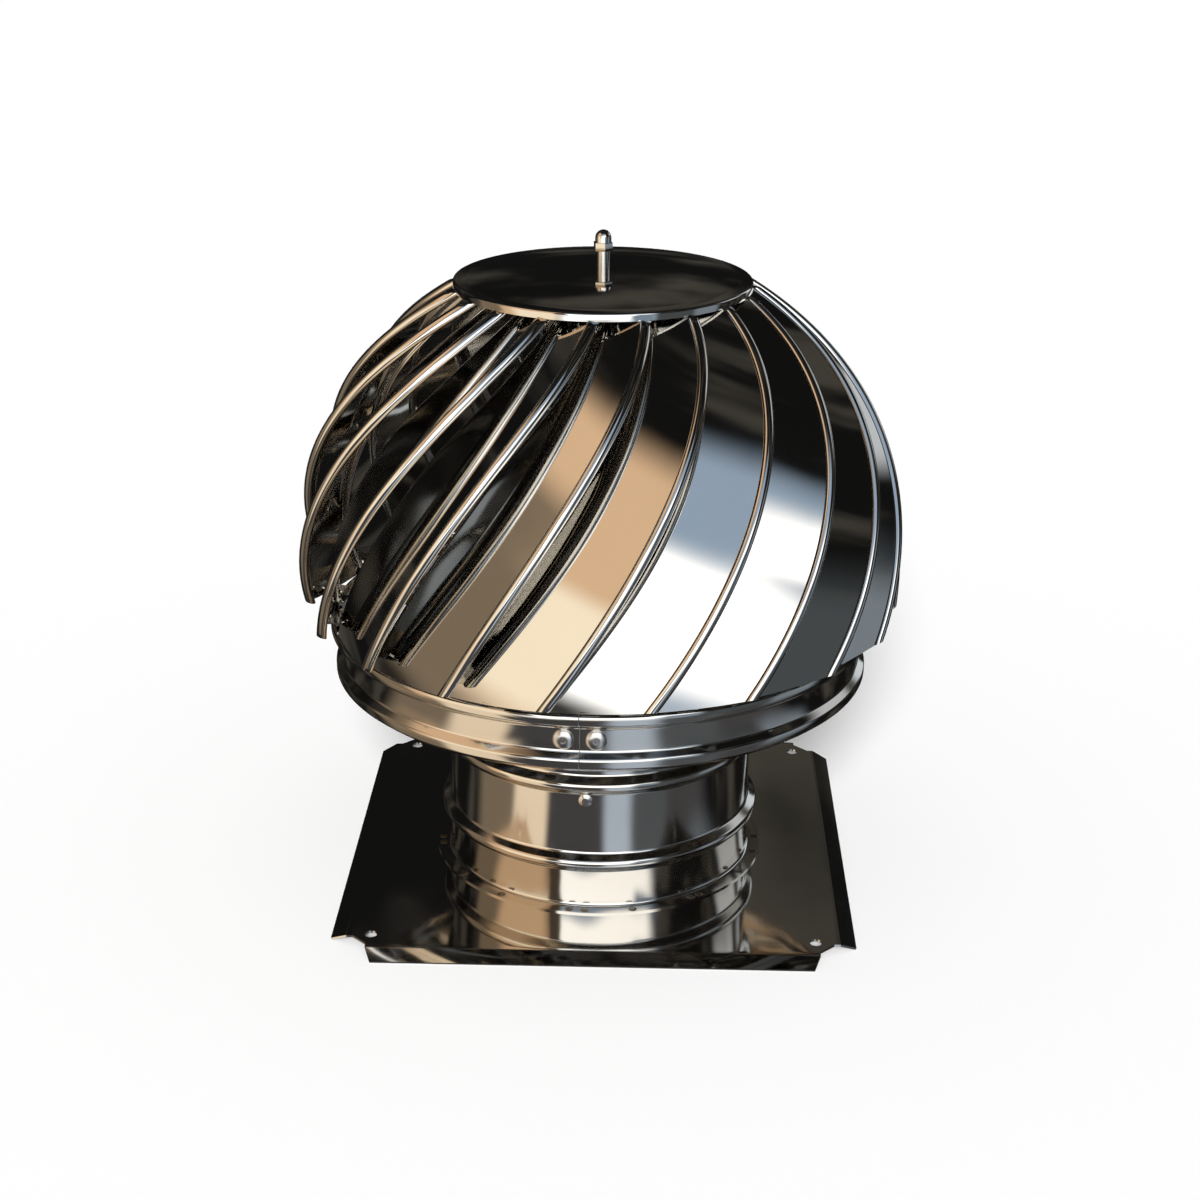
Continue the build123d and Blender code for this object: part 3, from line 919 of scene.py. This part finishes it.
@dataclass
class Throat:
    """Round throat: one sheet with a turned-out foot and two swaged beads, spot welded down."""

    radius: float = 75.0
    sheet: float = 0.8
    foot: float = 82.0
    floor: float = 5.2
    top: float = 112.4
    beads: tuple[float, float] = (28.9, 69.4)
    bead_half: float = 4.6
    bead_crest: float = 1.6
    bead_out: float = 4.0
    weld_circle: float = 79.2
    weld_count: int = 24
    weld_radius: float = 2.1
    weld_height: float = 0.35
    weld_sunk: float = 0.1
    weld_stray: tuple[float, float] = (0.11, 2.3)
    foot_round: float = 1.6
    bead_rounds: tuple[float, ...] = (1.8, 2.4, 2.4, 1.8)
    steps: int = 160

    def outline(self) -> Profile:
        """Section of the pipe's sheet."""
        corners = [(self.foot, self.floor), (self.radius, self.floor)]
        rounds = [self.foot_round]
        for middle in self.beads:
            corners += [
                (self.radius, middle - self.bead_half),
                (self.radius + self.bead_out, middle - self.bead_crest),
                (self.radius + self.bead_out, middle + self.bead_crest),
                (self.radius, middle + self.bead_half),
            ]
            rounds += self.bead_rounds
        corners.append((self.radius, self.top))
        return sheet_outline(rounded(corners, rounds, 6), self.sheet)

    def build(self, sheet: bpy.types.Material, weld: bpy.types.Material) -> None:
        """Builds the pipe in place of its CAD node, and its spot welds.

        Args:
            sheet: Finish of the pipe.
            weld: Finish of the welds.
        """
        mesh = spun(self.outline(), self.steps)
        finish_piece(mesh, "swaged_throat", sheet, Body.BASE, ("throat_pipe",))
        welds = bmesh.new()
        height = self.weld_height + self.weld_sunk
        size = Matrix.Diagonal((self.weld_radius, self.weld_radius, height, 1))
        stray, pace = self.weld_stray
        for index in range(self.weld_count):
            turn = 2 * pi * index / self.weld_count + stray * sin(index * pace)
            spot = Vector((cos(turn), sin(turn), 0)) * self.weld_circle
            place = Matrix.Translation(spot + Vector((0, 0, self.floor - self.weld_sunk)))
            bmesh.ops.create_uvsphere(
                welds, u_segments=18, v_segments=8, radius=1.0, matrix=place @ size
            )
        finish_piece(welds, "foot_spot_welds", weld, Body.BASE)


@dataclass
class FlashingPlate:
    """Square roof plate with flared drip lips, cut corners and four screw holes."""

    half: float = 115.5
    top: float = 4.4
    sheet: float = 1.0
    cut: float = 10.0
    lip_out: float = 7.6
    lip_drop: float = 3.4
    lip_taper: float = 3.0
    fold: float = 2.2
    fold_start: float = 3.0
    bore: float = 74.2
    screw_place: float = 104.0
    screw_hole: float = 3.0
    bore_segments: int = 128
    screw_segments: int = 32

    def build(self, finish: bpy.types.Material) -> None:
        """Builds the plate in place of its CAD node."""
        corners = [
            (self.half - self.fold_start, self.top),
            (self.half, self.top),
            (self.half + self.lip_out, self.top - self.lip_drop),
        ]
        line = rounded(corners, [self.fold])
        start = line[0][0]
        inner = self.half - self.cut
        mesh = bmesh.new()
        outline = []
        for quarter in range(4):
            turn = Matrix.Rotation(radians(90 * quarter), 3, "Z")
            for side in (-inner, inner):
                outline.append(mesh.verts.new(turn @ Vector((start, side, self.top))))
        ring = [mesh.edges.new((outline[i], outline[(i + 1) % 8])) for i in range(8)]
        sides = [ring[index] for index in range(0, 8, 2)]
        circles = [(0, 0, self.bore, self.bore_segments)]
        circles += [
            (x * self.screw_place, y * self.screw_place, self.screw_hole, self.screw_segments)
            for x in (-1, 1)
            for y in (-1, 1)
        ]
        for x, y, radius, segments in circles:
            made = bmesh.ops.create_circle(
                mesh, segments=segments, radius=radius, matrix=Matrix.Translation((x, y, self.top))
            )
            ring += list({edge for vertex in made["verts"] for edge in vertex.link_edges})
        bmesh.ops.triangle_fill(mesh, use_beauty=True, use_dissolve=False, edges=ring)
        for quarter, side in enumerate(sides):
            turn = Matrix.Rotation(radians(90 * quarter), 3, "Z")
            edges = [side]
            for reach, level in line[1:]:
                made = bmesh.ops.extrude_edge_only(mesh, edges=edges)
                verts = [item for item in made["geom"] if isinstance(item, bmesh.types.BMVert)]
                edges = [
                    item
                    for item in made["geom"]
                    if isinstance(item, bmesh.types.BMEdge) and set(item.verts) <= set(verts)
                ]
                trim = self.lip_taper * max(reach - self.half, 0) / self.lip_out
                for vertex in verts:
                    local = turn.transposed() @ vertex.co
                    end = (inner - trim) * (1 if local.y > 0 else -1)
                    vertex.co = turn @ Vector((reach, end, level))
        bmesh.ops.recalc_face_normals(mesh, faces=mesh.faces)
        if sum(face.normal.z for face in mesh.faces) < 0:
            bmesh.ops.reverse_faces(mesh, faces=mesh.faces)
        bmesh.ops.solidify(mesh, geom=mesh.faces, thickness=self.sheet)
        bmesh.ops.recalc_face_normals(mesh, faces=mesh.faces)
        finish_piece(
            mesh, "folded_flashing_plate", finish, Body.BASE, ("base_plate",), crease=20
        )


@dataclass
class InnerParts:
    """Spider, bearings and hub: their CAD shapes stay, in their own finishes."""

    zinc_nodes: tuple[str, ...] = (
        "bearing_tube",
        "spider_arm_1",
        "spider_arm_2",
        "spider_arm_3",
        "lower_washer",
        "lock_nut",
        "hub_flange",
        "thrust_collar",
    )
    bearing_nodes: tuple[str, ...] = ("bearing_outer_rings", "bearing_inner_rings")
    drawn_nodes: tuple[str, ...] = ("spider_rivets", "ring_splice")

    def dress(self, nodes: dict[str, bpy.types.Object], finishes: Finishes) -> None:
        """Gives each node its finish.

        Args:
            nodes: CAD nodes by name.
            finishes: The part's finishes.
        """
        groups = (
            (self.zinc_nodes, finishes.zinc),
            (self.bearing_nodes, finishes.bearing),
            (self.drawn_nodes, finishes.drawn),
        )
        for names, finish in groups:
            for name in names:
                data = nodes[name].data
                data.materials.clear()
                data.materials.append(finish)
                LOG.info("%s keeps its CAD shape in %s", name, finish.name)


# ---------------------------------------------------------------- studio


@dataclass(frozen=True)
class Patch:
    """A soft-edged patch of the tent, placed by its direction from the object."""

    azimuth: float
    elevation: float
    reach: tuple[float, float]
    softness: float
    colour: str
    strength: float = 1.0


@dataclass(frozen=True)
class Tent:
    """Dark tent with pale openings: only bright metal shows it, as flags round a shiny product do."""

    radius: float = 4.0
    centre: tuple[float, float, float] = (0.0, 0.0, 0.15)
    seam: float = 60.0
    cloth: tuple[str, str] = ("#161616", "#4C4943")
    cloth_scale: float = 1.3
    cloth_span: tuple[float, float] = (0.48, 0.68)
    wobble: float = 9.0
    wobble_scale: float = 1.7
    patches: tuple[Patch, ...] = (
        Patch(-90, -50, (80, 26), 14, "#4E4D4F"),
        Patch(-172, -35, (16, 24), 10, "#8A7B68"),
        Patch(-143, -32, (9, 22), 7, "#F0DCC0", 1.3),
        Patch(-72, -32, (9, 20), 7, "#B9C6D6", 1.2),
        Patch(-48, -30, (10, 20), 10, "#5C6064"),
        Patch(-35, -4, (12, 8), 12, "#565C60", 0.9),
        Patch(-3, -4, (8, 12), 10, "#98A4B0", 0.8),
        Patch(28, 24, (10, 4), 6, "#C8CDD2", 1.2),
        Patch(57, 12, (4, 14), 6, "#D8E0E8", 1.2),
        Patch(-158, 20, (24, 32), 14, "#DDB994", 1.35),
        Patch(-140, 0, (12, 14), 10, "#F3E3C8", 1.5),
        Patch(178, 8, (8, 24), 10, "#8E7D68"),
        Patch(-82, 46, (32, 8), 12, "#A9BED6"),
        Patch(-86, 12, (30, 18), 10, "#FFFFFF", 2.2),
        Patch(-56, 4, (5, 14), 6, "#8FA2B6"),
        Patch(-121, 30, (3, 30), 3, "#5A4E42"),
    )

    def direction(self, tree: bpy.types.NodeTree) -> tuple[bpy.types.NodeSocket, ...]:
        """Adds the nodes that give the azimuth past the seam and the elevation, in degrees."""
        place = add_node(tree, "TexCoord", {}, {}).outputs["Object"]
        centred = add_node(
            tree,
            "Mapping",
            {
                "vector_type": "TEXTURE",
                "inputs": {"Location": self.centre, "Rotation": (0, 0, radians(self.seam + 180))},
            },
            {"Vector": place},
        )
        unit = add_node(tree, "VectorMath", {"operation": "NORMALIZE"}, {0: centred.outputs["Vector"]})
        folds = add_node(
            tree,
            "TexNoise",
            {"inputs": {"Scale": self.wobble_scale, "Detail": 1.5}},
            {"Vector": unit.outputs["Vector"]},
        )
        pull = add_node(
            tree,
            "VectorMath",
            {"operation": "MULTIPLY_ADD", "inputs": {1: (radians(self.wobble) * 2,) * 3}},
            {0: folds.outputs["Color"], 2: unit.outputs["Vector"]},
        )
        level = add_node(
            tree,
            "VectorMath",
            {"operation": "SUBTRACT", "inputs": {1: (radians(self.wobble),) * 3}},
            {0: pull.outputs["Vector"]},
        )
        bent = add_node(tree, "VectorMath", {"operation": "NORMALIZE"}, {0: level.outputs["Vector"]})
        parts = add_node(tree, "SeparateXYZ", {}, {0: bent.outputs["Vector"]})
        flat = {0: parts.outputs["Y"], 1: parts.outputs["X"]}
        turn = add_node(tree, "Math", {"operation": "ARCTAN2"}, flat)
        rise = add_node(tree, "Math", {"operation": "ARCSINE"}, {0: parts.outputs["Z"]})
        return tuple(
            add_node(tree, "Math", {"operation": "DEGREES"}, {0: node.outputs[0]}).outputs[0]
            for node in (turn, rise)
        )

    def mask(
        self,
        tree: bpy.types.NodeTree,
        angle: bpy.types.NodeSocket,
        middle: float,
        reach: float,
        softness: float,
    ) -> bpy.types.NodeSocket:
        """Adds the nodes of a soft band of one angle.

        Args:
            tree: The tent's node tree.
            angle: The angle in degrees.
            middle: Middle of the band.
            reach: Half of its full-strength width.
            softness: Width over which each side fades.

        Returns:
            The band's strength, from zero to one.
        """
        offset = add_node(tree, "Math", {"operation": "SUBTRACT", "inputs": {1: middle}}, {0: angle})
        distance = add_node(tree, "Math", {"operation": "ABSOLUTE"}, {0: offset.outputs[0]})
        return add_node(
            tree,
            "MapRange",
            {
                "interpolation_type": "SMOOTHSTEP",
                "inputs": {"From Min": reach + softness, "From Max": reach},
            },
            {"Value": distance.outputs[0]},
        ).outputs["Result"]

    def material(self) -> bpy.types.Material:
        """Builds the tent's cloth with its patches."""
        material = bpy.data.materials.new("studio_tent_cloth")
        material.use_nodes = True
        tree = material.node_tree
        tree.nodes.clear()
        azimuth, elevation = self.direction(tree)
        place = add_node(tree, "TexCoord", {}, {}).outputs["Object"]
        shade = add_node(
            tree,
            "TexNoise",
            {"inputs": {"Scale": self.cloth_scale, "Detail": 3.0}},
            {"Vector": place},
        )
        depth = add_node(
            tree,
            "MapRange",
            {
                "interpolation_type": "SMOOTHSTEP",
                "inputs": dict(zip(("From Min", "From Max"), self.cloth_span)),
            },
            {"Value": shade.outputs["Fac"]},
        )
        cloth = add_node(tree, "Mix", {"data_type": "RGBA"}, {"Factor": depth.outputs["Result"]})
        cloth.inputs[MIX_FIRST].default_value = linear(self.cloth[0])
        cloth.inputs[MIX_SECOND].default_value = linear(self.cloth[1])
        colour = cloth.outputs[MIX_RESULT]
        for patch in self.patches:
            turn = (patch.azimuth - self.seam) % 360 - 180
            across = self.mask(tree, azimuth, turn, patch.reach[0], patch.softness)
            upward = self.mask(tree, elevation, patch.elevation, patch.reach[1], patch.softness)
            share = add_node(tree, "Math", {"operation": "MULTIPLY"}, {0: across, 1: upward})
            under = {"Factor": share.outputs[0], MIX_FIRST: colour}
            laid = add_node(tree, "Mix", {"data_type": "RGBA"}, under)
            red, green, blue, alpha = linear(patch.colour)
            glow = (red * patch.strength, green * patch.strength, blue * patch.strength, alpha)
            laid.inputs[MIX_SECOND].default_value = glow
            colour = laid.outputs[MIX_RESULT]
        shine = add_node(tree, "Emission", {}, {"Color": colour})
        add_node(tree, "OutputMaterial", {}, {"Surface": shine.outputs[0]})
        return material

    def build(self) -> None:
        """Builds the tent round the object."""
        mesh = bmesh.new()
        middle = Matrix.Translation(self.centre)
        bmesh.ops.create_uvsphere(
            mesh, u_segments=64, v_segments=32, radius=self.radius, matrix=middle
        )
        data = to_data(mesh, "studio_tent")
        data.materials.append(self.material())
        tent = add_object("studio_tent", data)
        tent.visible_camera = False
        tent.visible_diffuse = False
        tent.visible_shadow = False
        tent.visible_transmission = False


@dataclass
class Studio:
    """Pale floor, white surround, soft key light, the tent and the camera."""

    focal_pixels: float = 2177.72
    frame_pixels: float = 1200.0
    sensor: float = 36.0
    far: float = 50.0
    camera_place: tuple[float, float, float] = (24.473, -993.468, 521.136)
    camera_yaw: float = -0.025
    camera_pitch: float = 0.372
    camera_roll: float = 0.007
    floor_colour: str = "#FBFBFB"
    floor_half: float = 8.0
    floor_light: float = 1.04
    world_light: float = 0.35
    key_azimuth: float = -92.0
    key_elevation: float = 30.0
    key_spread: float = 16.0
    tent: Tent = Tent()

    def build(self) -> None:
        """Builds the stage, the light and the camera."""
        self.build_floor()
        self.build_world()
        self.tent.build()
        self.build_key()
        self.build_camera()

    def build_floor(self) -> None:
        """Builds the pale floor."""
        mesh = bmesh.new()
        bmesh.ops.create_grid(mesh, x_segments=1, y_segments=1, size=self.floor_half)
        data = to_data(mesh, "pale_floor")
        material = bpy.data.materials.new("matt_white_backdrop_paper")
        material.use_nodes = True
        shader = material.node_tree.nodes["Principled BSDF"]
        shader.inputs["Base Color"].default_value = linear(self.floor_colour)
        shader.inputs["Roughness"].default_value = 1.0
        shader.inputs["Specular IOR Level"].default_value = 0.0
        data.materials.append(material)
        floor = add_object("pale_floor", data)
        floor.visible_glossy = False

    def build_world(self) -> None:
        """Builds the white surround."""
        world = bpy.data.worlds.new("white_surround")
        bpy.context.scene.world = world
        world.use_nodes = True
        tree = world.node_tree
        seen = add_node(tree, "LightPath", {}, {})
        strength = add_node(
            tree,
            "MapRange",
            {"inputs": {"To Min": self.world_light, "To Max": 1.0}},
            {"Value": seen.outputs["Is Camera Ray"]},
        )
        back = tree.nodes["Background"]
        back.inputs["Color"].default_value = (1, 1, 1, 1)
        tree.links.new(strength.outputs["Result"], back.inputs["Strength"])

    def build_key(self) -> None:
        """Adds the broad key light, from over the camera."""
        data = bpy.data.lights.new("key_soft_light", "SUN")
        data.angle = radians(self.key_spread)
        rise = radians(self.key_elevation)
        data.energy = (self.floor_light - self.world_light) * pi / sin(rise)
        turn = radians(self.key_azimuth)
        way = Vector((cos(rise) * cos(turn), cos(rise) * sin(turn), sin(rise)))
        lamp = add_object("key_soft_light", data)
        lamp.rotation_euler = way.to_track_quat("Z", "Y").to_euler()
        lamp.visible_glossy = False

    def build_camera(self) -> None:
        """Builds the camera at the product view's place."""
        yaw, pitch, roll = self.camera_yaw, self.camera_pitch, self.camera_roll
        ahead = Vector((sin(yaw) * cos(pitch), cos(yaw) * cos(pitch), -sin(pitch)))
        right = Vector((cos(yaw), -sin(yaw), 0))
        up = right.cross(ahead)
        turned = right * cos(roll) + up * sin(roll)
        up = up * cos(roll) - right * sin(roll)
        data = bpy.data.cameras.new("product_camera")
        data.sensor_width = self.sensor
        data.lens = self.focal_pixels / self.frame_pixels * self.sensor
        data.clip_end = self.far
        camera = add_object("product_camera", data)
        axes = Matrix((turned, up, -ahead)).transposed().to_4x4()
        camera.matrix_world = Matrix.Translation(Vector(self.camera_place) * MM) @ axes
        bpy.context.scene.camera = camera


def main() -> None:
    """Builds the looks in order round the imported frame."""
    logging.basicConfig(level=logging.INFO, format="%(name)s: %(message)s")
    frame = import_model()
    bpy.context.scene.view_settings.view_transform = "Standard"
    finishes = Finishes()
    Studio().build()
    BladeSet().build(finishes.bright)
    TopDisc().build(finishes.spun)
    Axle().build(finishes.drawn, finishes.bright)
    Ring().build(finishes.rolled, finishes.drawn)
    Throat().build(finishes.rolled, finishes.weld)
    FlashingPlate().build(finishes.bright)
    InnerParts().dress(frame["nodes"], finishes)


if __name__ == "__main__":
    main()
